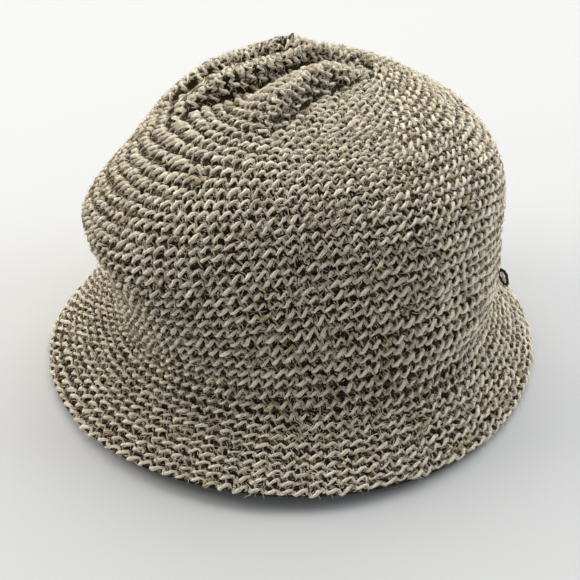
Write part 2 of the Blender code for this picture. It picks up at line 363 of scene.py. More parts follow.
def add_pleat(points, run, pleat):
    """Raise one knife pleat: a long climb on its left, a leaning ridge and a steep fall."""
    path, heading = pleat_path(pleat)
    length = np.linalg.norm(np.diff(path, axis=0), axis=1).sum()
    plan = points[..., :2].reshape(-1, 2)
    nearest = ((plan[:, None, :] - path[None, :, :]) ** 2).sum(axis=2).argmin(axis=1)
    offset = plan - path[nearest]
    ahead = heading[nearest]
    along = nearest / (PATH_SAMPLES - 1.0) + (offset * ahead).sum(axis=1) / length
    across = ahead[:, 1] * offset[:, 0] - ahead[:, 0] * offset[:, 1]
    side = np.stack([ahead[:, 1], -ahead[:, 0], np.zeros(len(ahead))], axis=1)
    level = run.reshape(-1)
    strength = smooth_step(0.0, pleat.fade_in, along) * smooth_step(1.0, PLEAT_FADE_OUT, along)
    strength = strength * smooth_step(PLEATS_START_RUN, PLEATS_FULL_RUN, level)
    strength = strength * smooth_step(PLEATS_END_RUN, PLEATS_FADE_RUN, level)
    climb_width = pleat.climb * WALL
    climb = 0.5 + 0.5 * np.cos(math.pi * np.clip(across / climb_width, -1.0, 0.0))
    fall = (1.0 + PLEAT_GROOVE) * np.exp(-(across / (PLEAT_FALL * WALL)) ** 2)
    fall = fall - PLEAT_GROOVE * np.exp(-(across / (PLEAT_GROOVE_WIDTH * WALL)) ** 2)
    rise = np.where(across < 0.0, climb, fall) * strength * pleat.high * WALL
    lean = np.exp(-((across / WALL - PLEAT_LEAN_AT) / PLEAT_LEAN_WIDTH) ** 2) * strength * pleat.lean * WALL
    moved = lean[:, None] * side
    moved[:, 2] = rise
    return points + moved.reshape(points.shape)


def outer_form(bearing, run):
    """Points of the outer face, pleats and all."""
    points = plain_form(bearing, run)
    for pleat in PLEATS:
        points = add_pleat(points, run, pleat)
    return points


def brim_offset():
    """How far back the brim's middle lies from the middle that the sections are drawn round."""
    return 0.5 * (SECTIONS[0].front - SECTIONS[0].back) * HALF_LENGTH


def in_place(points):
    """Centre the brim over the origin and lower the hat by RIM_DROP."""
    placed = points.copy()
    placed[..., 1] += brim_offset()
    placed[..., 2] -= RIM_DROP
    return placed


# Rows of stitches

# A stitch has its place on the row, the middle of the gap below it, its directions along the row and
# outward, its width, the spacing of the rows, its row's number and how straight its row runs, 1 at most
Stitches = namedtuple("Stitches", "place gap across outward width pitch row straight")


def row_map():
    """Runs of every row at each of the map's bearings, evenly spaced within a zone but for the sags."""
    bearings = 360.0 * np.arange(ROW_MAP_BEARINGS) / ROW_MAP_BEARINGS
    runs = np.linspace(0.0, 1.0, ROW_MAP_RUNS)
    rings = np.array([outer_form(bearings, np.full(ROW_MAP_BEARINGS, run)) for run in runs])
    steps = np.linalg.norm(np.diff(rings, axis=0), axis=2)
    climbed = np.vstack([np.zeros(ROW_MAP_BEARINGS), np.cumsum(steps, axis=0)])
    levels = np.arange(int(ZONES[-1].rows)) + 0.5
    starting = smooth_step(SAG_STARTS_RUN, SAG_FULL_RUN, runs)
    hanging = starting * smooth_step(SAG_ENDS_RUN, SAG_FADES_RUN, runs)
    sagging = sum(sag.rows * np.exp(-(turn_between(bearings, sag.bearing) / sag.spread) ** 2) for sag in SAGS)
    wander = np.zeros((len(levels), ROW_MAP_BEARINGS))
    generator = np.random.default_rng(ROW_WANDER_SEED)
    for wave in ROW_WANDER:
        start = generator.uniform(0.0, 2.0 * math.pi, (len(levels), 1))
        wander += wave.rows * np.sin(wave.waves * np.radians(bearings) + start)
    table = []
    for index in range(ROW_MAP_BEARINGS):
        at_zones = np.interp([zone.run for zone in ZONES], runs, climbed[:, index])
        passed = np.interp(climbed[:, index], at_zones, [zone.rows for zone in ZONES])
        table.append(np.interp(levels + wander[:, index], passed + sagging[index] * hanging, runs))
    table = np.array(table).T
    table = 0.25 * np.roll(table, 1, axis=1) + 0.5 * table + 0.25 * np.roll(table, -1, axis=1)
    return bearings, table


def unit(vectors):
    return vectors / np.maximum(np.linalg.norm(vectors, axis=-1, keepdims=True), 1e-9)


def ring_steps(ring):
    return np.linalg.norm(np.diff(ring, axis=0), axis=1)


def ring_index(ring, at):
    """Places along a ring's list of points, from shares of its length."""
    step = ring_steps(ring)
    share = np.concatenate([[0.0], np.cumsum(step)]) / step.sum()
    return np.interp(at % 1.0, share, np.arange(len(share)))


def ring_point(ring, index):
    return np.stack([np.interp(index, np.arange(len(ring)), ring[:, axis]) for axis in range(3)], axis=1)


def stitches_of_rows(settings):
    """Place, directions and sizes of every stitch of the hat."""
    bearings, table = row_map()
    fine = 360.0 * np.arange(ROW_BEARINGS + 1) / ROW_BEARINGS + ROUND_START_BEARING
    rings = []
    for row_runs in table:
        runs = np.interp(fine % 360.0, np.append(bearings, 360.0), np.append(row_runs, row_runs[0]))
        rings.append(outer_form(fine, runs))
    found = []
    for row, ring in enumerate(rings):
        length = ring_steps(ring).sum()
        count = min(int(round(length / settings.stitch_width)), settings.stitches_round)
        if count >= FEWEST_STITCHES:
            found.append(stitches_of_row(rings, row, length, count))
    return Stitches(*[np.concatenate([getattr(one, name) for one in found]) for name in Stitches._fields])


def stitches_of_row(rings, row, length, count):
    """The stitches of one row; where rows come too close, every second one is left out."""
    ring = rings[row]
    at = (np.arange(count) + 0.5) / count
    index = ring_index(ring, at)
    place = ring_point(ring, index)
    ahead = ring_point(ring, ring_index(ring, at + 0.25 / count))
    behind = ring_point(ring, ring_index(ring, at - 0.25 / count))
    across = unit(ahead - behind)
    low = max(row - 1, 0)
    high = min(row + 1, len(rings) - 1)
    upward = (ring_point(rings[high], index) - ring_point(rings[low], index)) / (high - low)
    outward = unit(np.cross(across, upward))
    rise = upward - (upward * across).sum(axis=1, keepdims=True) * across
    pitch = np.linalg.norm(rise, axis=1)
    close = pitch < CLOSEST_PITCH
    below = ring_point(rings[low], index)
    gap = np.where(close[:, None], below, 0.5 * (place + below))
    pitch = np.where(close, 2.0 * pitch, pitch)
    straight = 0.5 * (across * (np.roll(across, 1, axis=0) + np.roll(across, -1, axis=0))).sum(axis=1)
    width = length / count * np.clip(straight, LEAST_WIDTH_SHARE, 1.0)
    whole = Stitches(place, gap, across, outward, width, pitch, np.full(count, row), straight)
    return picked(whole, ~close | (row % 2 == 0))


def picked(stitches, chosen):
    return Stitches(*[values[chosen] for values in stitches])


def bands_of_rows(stitches, parts):
    """Masks that share the rows out, so that each piece has about as many stitches."""
    edges = np.linspace(0, len(stitches.row), parts + 1).astype(int)
    starts = [-1] + [stitches.row[edge] for edge in edges[1:-1]] + [len(stitches.row)]
    return [(stitches.row >= low) & (stitches.row < high) for low, high in zip(starts[:-1], starts[1:])]


def with_gap(stitches):
    """Stitches with a gap below them to fill: none at the rim, nor where the row bends over a ridge."""
    return (stitches.row > 0) & (stitches.straight > STRAIGHT_ENOUGH)


# Nodes

def add_node(tree, kind, settings=None, inputs=None):
    """A node with its settings, and its inputs set to values or linked to sockets."""
    node = tree.nodes.new(kind)
    for name, value in (settings or {}).items():
        setattr(node, name, value)
    for name, value in (inputs or {}).items():
        socket = node.inputs[name]
        if isinstance(value, bpy.types.NodeSocket):
            tree.links.new(value, socket)
        else:
            socket.default_value = value
    return node


def maths(tree, operation, *values):
    """The result of a Math node on numbers or sockets."""
    return add_node(tree, "ShaderNodeMath", {"operation": operation}, dict(enumerate(values))).outputs[0]


def vector_of(tree, **parts):
    return add_node(tree, "ShaderNodeCombineXYZ", None, parts).outputs[0]


def parts_of(tree, vector):
    return add_node(tree, "ShaderNodeSeparateXYZ", None, {0: vector}).outputs


def scaled(tree, vector, factor):
    inputs = {0: vector, "Scale": factor}
    return add_node(tree, "ShaderNodeVectorMath", {"operation": "SCALE"}, inputs).outputs[0]


def noise(tree, place, scale, detail, roughness=0.5):
    inputs = {"Vector": place, "Scale": scale, "Detail": detail, "Roughness": roughness}
    return add_node(tree, "ShaderNodeTexNoise", None, inputs).outputs


def stretched(tree, value, low, high):
    """A value from low to high drawn out to the range from 0 to 1."""
    inputs = {"Value": value, "From Min": low, "From Max": high}
    return add_node(tree, "ShaderNodeMapRange", None, inputs).outputs[0]


def mixed(tree, factor, first, second):
    """One colour going over to another; a colour's sockets have numbers of their own."""
    inputs = {"Factor": factor, 6: first, 7: second}
    return add_node(tree, "ShaderNodeMix", {"data_type": "RGBA"}, inputs).outputs[2]


def painted_number(tree, name):
    """A piece's own number at each point, for a material."""
    return add_node(tree, "ShaderNodeAttribute", {"attribute_name": name}).outputs["Fac"]


def object_place(tree):
    return add_node(tree, "ShaderNodeTexCoord").outputs["Object"]


def new_group(name, kind, inputs, outputs):
    """A node group with named inputs and outputs; returns it with its input sockets and output node."""
    tree = bpy.data.node_groups.new(name, kind)
    for label, socket_type, default in inputs:
        socket = tree.interface.new_socket(label, in_out="INPUT", socket_type=socket_type)
        if default is not None:
            socket.default_value = default
    for label, socket_type in outputs:
        tree.interface.new_socket(label, in_out="OUTPUT", socket_type=socket_type)
    entry = tree.nodes.new("NodeGroupInput")
    leave = tree.nodes.new("NodeGroupOutput")
    return tree, entry.outputs, leave


def made_once(name, make):
    """The node group of a name, built on its first use."""
    return bpy.data.node_groups.get(name) or make(name)


# Nodes of the stitches and fibres

def read_number(tree, label, data_type="FLOAT"):
    """A number, or a vector, that the points carry."""
    node = add_node(tree, "GeometryNodeInputNamedAttribute", {"data_type": data_type}, {"Name": label})
    return node.outputs["Attribute"]


def with_number(tree, geometry, label, value):
    """The geometry with a number written at its points."""
    return add_node(tree, "GeometryNodeStoreNamedAttribute", {"data_type": "FLOAT", "domain": "POINT"},
                    {"Geometry": geometry, "Name": label, "Value": value}).outputs[0]


def random_number(tree, seed, low, high):
    inputs = {"Seed": seed, 2: low, 3: high}
    return add_node(tree, "FunctionNodeRandomValue", {"data_type": "FLOAT"}, inputs).outputs[1]


def random_size(tree, given):
    """A factor about 1, as far off as the size spread says."""
    return random_number(tree, given["Seed"], maths(tree, "SUBTRACT", 1.0, given["Size spread"]),
                         maths(tree, "ADD", 1.0, given["Size spread"]))


def straight_line(tree, start, end):
    return add_node(tree, "GeometryNodeCurvePrimitiveLine", None, {"Start": start, "End": end}).outputs[0]


def in_lengths(tree, curve, given):
    inputs = {"Curve": curve, "Count": given["Lengths"]}
    return add_node(tree, "GeometryNodeResampleCurve", None, inputs).outputs[0]


def moved_to(tree, geometry, place):
    inputs = {"Geometry": geometry, "Position": place}
    return add_node(tree, "GeometryNodeSetPosition", None, inputs).outputs[0]


def drawn_along(tree, curve, profile, thickness):
    """A mesh of the profile drawn along the curve."""
    inputs = {"Curve": curve, "Profile Curve": profile, "Scale": thickness, "Fill Caps": False}
    return add_node(tree, "GeometryNodeCurveToMesh", None, inputs).outputs[0]


def laid_on_points(tree, given, instance, size):
    """The instance at every point, its Z along the point's outward and its X along the point's across."""
    axes = {"Primary Axis": read_number(tree, "outward", "FLOAT_VECTOR"),
            "Secondary Axis": read_number(tree, "across", "FLOAT_VECTOR")}
    turned = add_node(tree, "FunctionNodeAxesToRotation", {"primary_axis": "Z", "secondary_axis": "X"}, axes)
    inputs = {"Points": given["Geometry"], "Instance": instance, "Rotation": turned.outputs[0], "Scale": size}
    return add_node(tree, "GeometryNodeInstanceOnPoints", None, inputs).outputs[0]


def realized(tree, instances):
    return add_node(tree, "GeometryNodeRealizeInstances", None, {"Geometry": instances}).outputs[0]


def finish_tree(tree, geometry, given, leave):
    """End the tree with smooth shading and the material."""
    soft = add_node(tree, "GeometryNodeSetShadeSmooth", None, {"Geometry": geometry, "Shade Smooth": True})
    dressed = add_node(tree, "GeometryNodeSetMaterial", None,
                       {"Geometry": soft.outputs[0], "Material": given["Material"]})
    tree.links.new(dressed.outputs[0], leave.inputs[0])
    return tree


def yarn_stitch_tree(name):
    """One bent length of yarn at every point, turned and sized to the stitch there."""
    tree, given, leave = new_group(name, "GeometryNodeTree", (
        ("Geometry", "NodeSocketGeometry", None),
        ("Yarn radius", "NodeSocketFloat", 1.1 * MM),
        ("Thin ends", "NodeSocketFloat", 0.25),
        ("Club", "NodeSocketFloat", 0.12),
        ("Half reach", "NodeSocketFloat", 2.6 * MM),
        ("Half rise", "NodeSocketFloat", 1.6 * MM),
        ("Slant", "NodeSocketFloat", 0.22),
        ("Turns", "NodeSocketFloat", 1.0),
        ("Bow", "NodeSocketFloat", 0.8 * MM),
        ("Shift along", "NodeSocketFloat", 0.0),
        ("Sink", "NodeSocketFloat", 0.9 * MM),
        ("Lengths", "NodeSocketInt", 9),
        ("Sides", "NodeSocketInt", 6),
        ("Turn spread", "NodeSocketFloat", 0.12),
        ("Place spread", "NodeSocketFloat", 0.2 * MM),
        ("Size spread", "NodeSocketFloat", 0.1),
        ("Wobble", "NodeSocketFloat", 0.3 * MM),
        ("Wobble scale", "NodeSocketFloat", 450.0),
        ("Seed", "NodeSocketInt", 1),
        ("Material", "NodeSocketMaterial", None),
    ), (("Geometry", "NodeSocketGeometry"),))
    place = add_node(tree, "GeometryNodeInputPosition").outputs[0]

    line = in_lengths(tree, straight_line(tree, (-1.0, 0.0, 0.0), (1.0, 0.0, 0.0)), given)
    t = parts_of(tree, place)["X"]
    turn = maths(tree, "MULTIPLY", maths(tree, "MULTIPLY", t, math.pi), given["Turns"])
    swing = maths(tree, "SINE", turn)
    slanted = maths(tree, "MULTIPLY_ADD", swing, given["Slant"], t)
    bowed = maths(tree, "MULTIPLY", maths(tree, "COSINE", turn), given["Bow"])
    path = vector_of(tree, X=maths(tree, "MULTIPLY_ADD", slanted, given["Half reach"], given["Shift along"]),
                     Y=maths(tree, "MULTIPLY", swing, given["Half rise"]),
                     Z=maths(tree, "SUBTRACT", bowed, given["Sink"]))
    along = add_node(tree, "GeometryNodeSplineParameter").outputs["Factor"]
    bent = moved_to(tree, with_number(tree, line, "along", along), path)

    from_middle = maths(tree, "MULTIPLY_ADD", read_number(tree, "along"), 2.0, -1.0)
    near_end = maths(tree, "POWER", maths(tree, "ABSOLUTE", from_middle), 3.0)
    taper = maths(tree, "SUBTRACT", 1.0, maths(tree, "MULTIPLY", near_end, given["Thin ends"]))
    taper = maths(tree, "SUBTRACT", taper, maths(tree, "MULTIPLY", from_middle, given["Club"]))
    ring = add_node(tree, "GeometryNodeCurvePrimitiveCircle", None,
                    {"Resolution": given["Sides"], "Radius": 1.0}).outputs[0]
    for label, axis in (("round_x", "X"), ("round_y", "Y")):
        ring = with_number(tree, ring, label, parts_of(tree, place)[axis])
    yarn = drawn_along(tree, bent, ring, maths(tree, "MULTIPLY", taper, given["Yarn radius"]))

    size = vector_of(tree, X=maths(tree, "DIVIDE", read_number(tree, "stitch_width"), REFERENCE_WIDTH),
                     Y=maths(tree, "DIVIDE", read_number(tree, "row_pitch"), REFERENCE_PITCH), Z=1.0)
    laid = laid_on_points(tree, given, yarn, scaled(tree, size, random_size(tree, given)))
    spin = random_number(tree, maths(tree, "ADD", given["Seed"], TURN_SEED),
                         maths(tree, "MULTIPLY", given["Turn spread"], -1.0), given["Turn spread"])
    spun = add_node(tree, "GeometryNodeRotateInstances", None,
                    {"Instances": laid, "Rotation": vector_of(tree, Z=spin), "Local Space": True})
    stray_seed = maths(tree, "ADD", given["Seed"], STRAY_SEED)
    stray = add_node(tree, "FunctionNodeRandomValue", {"data_type": "FLOAT_VECTOR"},
                     {0: (-1.0, -1.0, -1.0), 1: (1.0, 1.0, 1.0), "Seed": stray_seed})
    stray = scaled(tree, stray.outputs[0], given["Place spread"])
    strayed = add_node(tree, "GeometryNodeTranslateInstances", None,
                       {"Instances": spun.outputs[0], "Translation": stray, "Local Space": True})

    lumps = add_node(tree, "ShaderNodeVectorMath", {"operation": "SUBTRACT"},
                     {0: noise(tree, place, given["Wobble scale"], 2.0)["Color"], 1: (0.5, 0.5, 0.5)})
    lumps = scaled(tree, lumps.outputs[0], maths(tree, "MULTIPLY", given["Wobble"], WOBBLE_GAIN))
    whole = add_node(tree, "GeometryNodeSetPosition", None,
                     {"Geometry": realized(tree, strayed.outputs[0]), "Offset": lumps})
    return finish_tree(tree, whole.outputs[0], given, leave)


def fibre_tree(name):
    """One fine bent fibre at every point, standing off the knit."""
    tree, given, leave = new_group(name, "GeometryNodeTree", (
        ("Geometry", "NodeSocketGeometry", None),
        ("Fibre width", "NodeSocketFloat", 0.09 * MM),
        ("Fibre length", "NodeSocketFloat", 3.0 * MM),
        ("Curl", "NodeSocketFloat", 0.8),
        ("Droop", "NodeSocketFloat", 0.35),
        ("Thinning", "NodeSocketFloat", 0.7),
        ("Lengths", "NodeSocketInt", 3),
        ("Size spread", "NodeSocketFloat", 0.5),
        ("Seed", "NodeSocketInt", 5),
        ("Material", "NodeSocketMaterial", None),
    ), (("Geometry", "NodeSocketGeometry"),))
    place = add_node(tree, "GeometryNodeInputPosition").outputs[0]
    line = in_lengths(tree, straight_line(tree, (0.0, 0.0, 0.0), (0.0, 0.0, 1.0)), given)
    t = parts_of(tree, place)["Z"]
    square = maths(tree, "MULTIPLY", t, t)
    away = maths(tree, "MULTIPLY", maths(tree, "MULTIPLY", square, given["Curl"]), given["Fibre length"])
    standing = maths(tree, "SUBTRACT", t, maths(tree, "MULTIPLY", square, given["Droop"]))
    up = maths(tree, "MULTIPLY", standing, given["Fibre length"])
    bent = moved_to(tree, line, vector_of(tree, X=away, Z=up))
    factor = add_node(tree, "GeometryNodeSplineParameter").outputs["Factor"]
    thickness = maths(tree, "SUBTRACT", 1.0, maths(tree, "MULTIPLY", factor, given["Thinning"]))
    edges = [vector_of(tree, X=maths(tree, "MULTIPLY", given["Fibre width"], half)) for half in (-0.5, 0.5)]
    fibre = drawn_along(tree, bent, straight_line(tree, *edges), thickness)
    laid = laid_on_points(tree, given, fibre, random_size(tree, given))
    return finish_tree(tree, realized(tree, laid), given, leave)


# Materials

def fibre_grain_group(name):
    """Twist of the plies, hairs along the yarn and fine loose fibres, for every yarn; the Shade output is
    partly painted shade, low in the grooves between the plies, and partly random tone of the fibres and
    hairs.
    """
    tree, given, leave = new_group(name, "ShaderNodeTree", (
        ("Twist", "NodeSocketFloat", 9.0),
        ("Plies", "NodeSocketFloat", 2.0),
        ("Fibre scale", "NodeSocketFloat", 1800.0),
        ("Hair scale", "NodeSocketFloat", 2.4),
        ("Fuzz", "NodeSocketFloat", 0.5),
    ), (("Shade", "NodeSocketFloat"), ("Height", "NodeSocketFloat")))
    along = painted_number(tree, "along")
    round_x = painted_number(tree, "round_x")
    round_y = painted_number(tree, "round_y")
    angle = maths(tree, "ARCTAN2", round_y, round_x)
    wound = maths(tree, "MULTIPLY_ADD", along, given["Twist"], maths(tree, "MULTIPLY", angle, given["Plies"]))
    ply = maths(tree, "MULTIPLY_ADD", maths(tree, "SINE", wound), 0.5, 0.5)
    fibres = noise(tree, object_place(tree), given["Fibre scale"], 3.0, 0.65)[0]
    start = maths(tree, "MULTIPLY", painted_number(tree, "tint"), HAIR_TINT_SHIFT)
    lengthwise = vector_of(tree, X=maths(tree, "MULTIPLY_ADD", along, HAIR_LENGTHWISE, start),
                           Y=maths(tree, "MULTIPLY", round_x, HAIR_AROUND),
                           Z=maths(tree, "MULTIPLY", round_y, HAIR_AROUND))
    hair = stretched(tree, noise(tree, lengthwise, given["Hair scale"], 4.0, 0.7)[0], *HAIR_RANGE)
    height = maths(tree, "MULTIPLY_ADD", maths(tree, "POWER", ply, 0.6), 0.5,
                   maths(tree, "MULTIPLY", fibres, given["Fuzz"]))
    height = maths(tree, "MULTIPLY_ADD", hair, 0.4, height)
    sharp = maths(tree, "MULTIPLY", stretched(tree, fibres, *FIBRE_RANGE), 0.45)
    loose = maths(tree, "MULTIPLY_ADD", hair, 0.55, sharp)
    # Partly painted shade: low between the plies, where the bump has its grooves; the fibre and hair terms
    # are random tone
    shade = maths(tree, "MULTIPLY_ADD", ply, 0.20, maths(tree, "MULTIPLY", loose, given["Fuzz"]))
    tree.links.new(shade, leave.inputs["Shade"])
    tree.links.new(height, leave.inputs["Height"])
    return tree


def tweed_group(name):
    """A yarn's colour: its main colour drifts slowly to another, with flecks of two more, then is scaled by
    the grain's Shade, which paints shade into the ply grooves, and by a random tone for each stitch.
    """
    tree, given, leave = new_group(name, "ShaderNodeTree", (
        ("Main", "NodeSocketColor", (0.6, 0.55, 0.45, 1.0)),
        ("Other", "NodeSocketColor", (0.5, 0.5, 0.45, 1.0)),
        ("Fleck one", "NodeSocketColor", (0.5, 0.35, 0.12, 1.0)),
        ("Fleck two", "NodeSocketColor", (0.25, 0.08, 0.06, 1.0)),
        ("Fleck share", "NodeSocketFloat", 0.12),
        ("Drift scale", "NodeSocketFloat", 160.0),
        ("Patch scale", "NodeSocketFloat", 520.0),
        ("Tint", "NodeSocketFloat", 0.5),
        ("Shade", "NodeSocketFloat", 0.5),
        ("Contrast", "NodeSocketFloat", 0.5),
    ), (("Colour", "NodeSocketColor"),))
    place = object_place(tree)
    colour = mixed(tree, noise(tree, place, given["Drift scale"], 2.0)[0], given["Main"], given["Other"])
    patch = stretched(tree, noise(tree, place, given["Patch scale"], 1.0)[0], *PATCH_RANGE)
    low = maths(tree, "LESS_THAN", given["Tint"], given["Fleck share"])
    high = maths(tree, "GREATER_THAN", given["Tint"], maths(tree, "SUBTRACT", 1.0, given["Fleck share"]))
    colour = mixed(tree, maths(tree, "MULTIPLY", low, patch), colour, given["Fleck one"])
    colour = mixed(tree, maths(tree, "MULTIPLY", high, patch), colour, given["Fleck two"])
    # Painted shade: the colour is scaled darker where the grain's Shade is low, in the ply grooves, and
    # lighter where it is high
    spread = maths(tree, "MULTIPLY_ADD", maths(tree, "SUBTRACT", given["Shade"], 0.5), given["Contrast"], 1.0)
    paler = maths(tree, "MULTIPLY_ADD", given["Tint"], 0.3, 0.85)
    lit = scaled(tree, colour, maths(tree, "MULTIPLY", spread, paler))
    tree.links.new(lit, leave.inputs["Colour"])
    return tree


def yarn_material(colours, name):
    """The material of a finish, made on its first use."""
    if name in bpy.data.materials:
        return bpy.data.materials[name]
    finish = FINISHES[name]
    main = getattr(colours, finish.main)
    material = bpy.data.materials.new(name)
    material.use_nodes = True
    tree = material.node_tree
    shader = tree.nodes["Principled BSDF"]
    grain = add_node(tree, "ShaderNodeGroup", {"node_tree": made_once("fibre_grain", fibre_grain_group)},
                     {"Fuzz": finish.fuzz})
    tweed = add_node(tree, "ShaderNodeGroup", {"node_tree": made_once("tweed_flecks", tweed_group)}, {
        "Main": main, "Other": getattr(colours, finish.other),
        "Fleck one": getattr(colours, finish.fleck_one), "Fleck two": getattr(colours, finish.fleck_two),
        "Fleck share": finish.fleck_share,
        "Tint": painted_number(tree, "tint"), "Shade": grain.outputs["Shade"], "Contrast": finish.contrast})
    bump = add_node(tree, "ShaderNodeBump", None,
                    {"Strength": BUMP_STRENGTH, "Distance": BUMP_DISTANCE, "Height": grain.outputs["Height"]})
    tree.links.new(tweed.outputs[0], shader.inputs["Base Color"])
    tree.links.new(bump.outputs[0], shader.inputs["Normal"])
    shader.inputs["Roughness"].default_value = WOOL_ROUGHNESS
    shader.inputs["Specular IOR Level"].default_value = WOOL_SPECULAR
    shader.inputs["Sheen Weight"].default_value = finish.sheen
    shader.inputs["Sheen Roughness"].default_value = SHEEN_ROUGHNESS
    shader.inputs["Sheen Tint"].default_value = SHEEN_TINT
    material.diffuse_color = main
    return material


def floor_material(colour):
    material = bpy.data.materials.new("matte_card")
    material.use_nodes = True
    tree = material.node_tree
    shader = tree.nodes["Principled BSDF"]
    paler = tuple(min(1.0, FLOOR_MOTTLE * channel) for channel in colour[:3]) + (1.0,)
    mottle = noise(tree, object_place(tree), FLOOR_MOTTLE_SCALE, 2.0)[0]
    tree.links.new(mixed(tree, mottle, colour, paler), shader.inputs["Base Color"])
    shader.inputs["Roughness"].default_value = FLOOR_ROUGHNESS
    shader.inputs["Specular IOR Level"].default_value = FLOOR_SPECULAR
    return material


# Meshes and objects

def in_scene(name, data):
    """A new object in the scene."""
    made = bpy.data.objects.new(name, data)
    bpy.context.scene.collection.objects.link(made)
    return made


def write_numbers(data, numbers, kind="FLOAT", field="value"):
    """Write named numbers, or vectors, at a mesh's points."""
    for label, values in numbers.items():
        layer = data.attributes.new(label, kind, "POINT")
        layer.data.foreach_set(field, np.asarray(values, dtype=np.float32).ravel())


def points_object(name, places, vectors, numbers):
    """Loose points that carry named vectors and numbers."""
    data = bpy.data.meshes.new(name)
    data.vertices.add(len(places))
    data.vertices.foreach_set("co", np.asarray(places, dtype=np.float32).ravel())
    write_numbers(data, vectors, "FLOAT_VECTOR", "vector")
    write_numbers(data, numbers)
    return in_scene(name, data)


def mesh_object(name, places, faces, numbers, material):
    data = bpy.data.meshes.new(name)
    data.from_pydata(places, [], faces)
    data.validate()
    write_numbers(data, numbers)
    data.shade_smooth()
    data.materials.append(material)
    return in_scene(name, data)


def quads_between(rings, following):
    """Faces between rings of numbered points and the rings that follow them."""
    corners = [rings, following, np.roll(following, -1, axis=1), np.roll(rings, -1, axis=1)]
    return np.stack(corners, axis=-1).reshape(-1, 4).tolist()


def baked(name, holder, tree, values):
    """Run a tree on an object and keep the result as a plain mesh; the object goes."""
    modifier = holder.modifiers.new("stitching", "NODES")
    modifier.node_group = tree
    for item in tree.interface.items_tree:
        if item.item_type == "SOCKET" and item.in_out == "INPUT" and item.name in values:
            modifier[item.identifier] = values[item.name]
    bpy.context.view_layer.update()
    depsgraph = bpy.context.evaluated_depsgraph_get()
    data = bpy.data.meshes.new_from_object(holder.evaluated_get(depsgraph))
    if len(data.polygons) == 0:
        raise RuntimeError(f"{name} came out empty")
    bpy.data.objects.remove(holder, do_unlink=True)
    data.name = name
    return in_scene(name, data)


def belongs(piece):
    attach(piece, BODY)
    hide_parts(NODE)


def flattened(piece):
    """Flatten on the floor what would sink into it."""
    data = piece.data
    places = np.empty(len(data.vertices) * 3, dtype=np.float32)
    data.vertices.foreach_get("co", places)
    places = places.reshape(-1, 3)
    places[:, 2] = np.maximum(places[:, 2], YARN_FLOOR)
    data.vertices.foreach_set("co", places.ravel())
    data.update()
    return piece


def random_tints(count, seed, runs_of):
    """One number from 0 to 1 for each stitch, alike over a few neighbours as colours run in marled yarn."""
    raw = np.random.default_rng(seed).random(count // runs_of + 2)
    return np.repeat(raw, runs_of)[:count]


def lay_yarn(context, name):
    """Lay one of the yarns in its stitches, as one piece or in bands of rows."""
    yarn = YARNS[name]
    settings = context.scene.hat_yarn
    stitches = stitches_of_rows(settings)
    tints = random_tints(len(stitches.row), settings.seed + yarn.tint_seed, yarn.tint_runs)
    tree = made_once("yarn_stitch", yarn_stitch_tree)
    material = yarn_material(context.scene.hat_colours, yarn.finish)
    for number, chosen in enumerate(bands_of_rows(stitches, yarn.pieces)):
        piece_name = name if yarn.pieces == 1 else f"{name}_{number + 1}"
        if yarn.in_gap:
            chosen = chosen & with_gap(stitches)
        here = picked(stitches, chosen)
        holder = points_object(piece_name, in_place(here.gap if yarn.in_gap else here.place),
                               {"across": here.across, "outward": here.outward},
                               {"stitch_width": here.width, "row_pitch": here.pitch, "tint": tints[chosen]})
        values = dict(yarn.shape)
        values["Yarn radius"] = getattr(settings, yarn.radius)
        values["Seed"] = settings.seed + yarn.laying_seed + number
        values["Material"] = material
        belongs(flattened(baked(piece_name, holder, tree, values)))


# Settings

def length_setting(name, description, default):
    return bpy.props.FloatProperty(name=name, description=description, default=default, unit="LENGTH")


def colour_setting(name, description, *default):
    return bpy.props.FloatVectorProperty(
        name=name, description=description, default=default + (1.0,), subtype="COLOR", size=4)


class YarnSettings(bpy.types.PropertyGroup):
    stitches_round: bpy.props.IntProperty(
        name="Stitches round", description="Most stitches in one row", default=116, min=20)
    stitch_width: length_setting("Stitch width", "Width of a stitch where the crown narrows", 4.8 * MM)
    light_radius: length_setting("Light yarn radius", "Half the thickness of the light yarn", 0.83 * MM)
    dark_radius: length_setting("Dark yarn radius", "Half the thickness of the dark yarn", 1.05 * MM)
    strand_radius: length_setting("Thin strand radius", "Half the thickness of the thin strand", 0.46 * MM)
    fibres: bpy.props.IntProperty(
        name="Fibres", description="Loose fibres of all layers", default=70000, min=0)
    seed: bpy.props.IntProperty(name="Seed", description="Seed of every random choice", default=7)


class YarnColours(bpy.types.PropertyGroup):
    light: colour_setting("Light yarn", "Main colour of the light yarn", 0.97, 0.86, 0.68)
    light_other: colour_setting("Light yarn, deeper", "Colour the light yarn drifts to", 0.63, 0.57, 0.44)
    gold: colour_setting("Gold flecks", "Colour of the gold flecks", 0.48, 0.36, 0.17)
    rose: colour_setting("Rose flecks", "Colour of the rose flecks", 0.52, 0.43, 0.36)
    # The dark yarn's two colours are darker than the yarn itself: partly its own colour, partly painted shade
    # of the deep gaps it lies in
    dark: colour_setting("Dark yarn", "Main colour of the dark yarn", 0.006, 0.0045, 0.0035)
    dark_other: colour_setting("Dark yarn, brown", "Colour the dark yarn drifts to", 0.062, 0.039, 0.017)
    rust: colour_setting("Rust flecks", "Colour of the rust flecks", 0.215, 0.130, 0.055)
    wine: colour_setting("Wine flecks", "Colour of the wine red flecks", 0.070, 0.035, 0.026)
    gap: colour_setting("Gap fibres", "Colour of the loose fibres over the dark yarn", 0.29, 0.225, 0.13)
    strand: colour_setting("Thin strand", "Colour of the thin strand", 0.35, 0.29, 0.19)


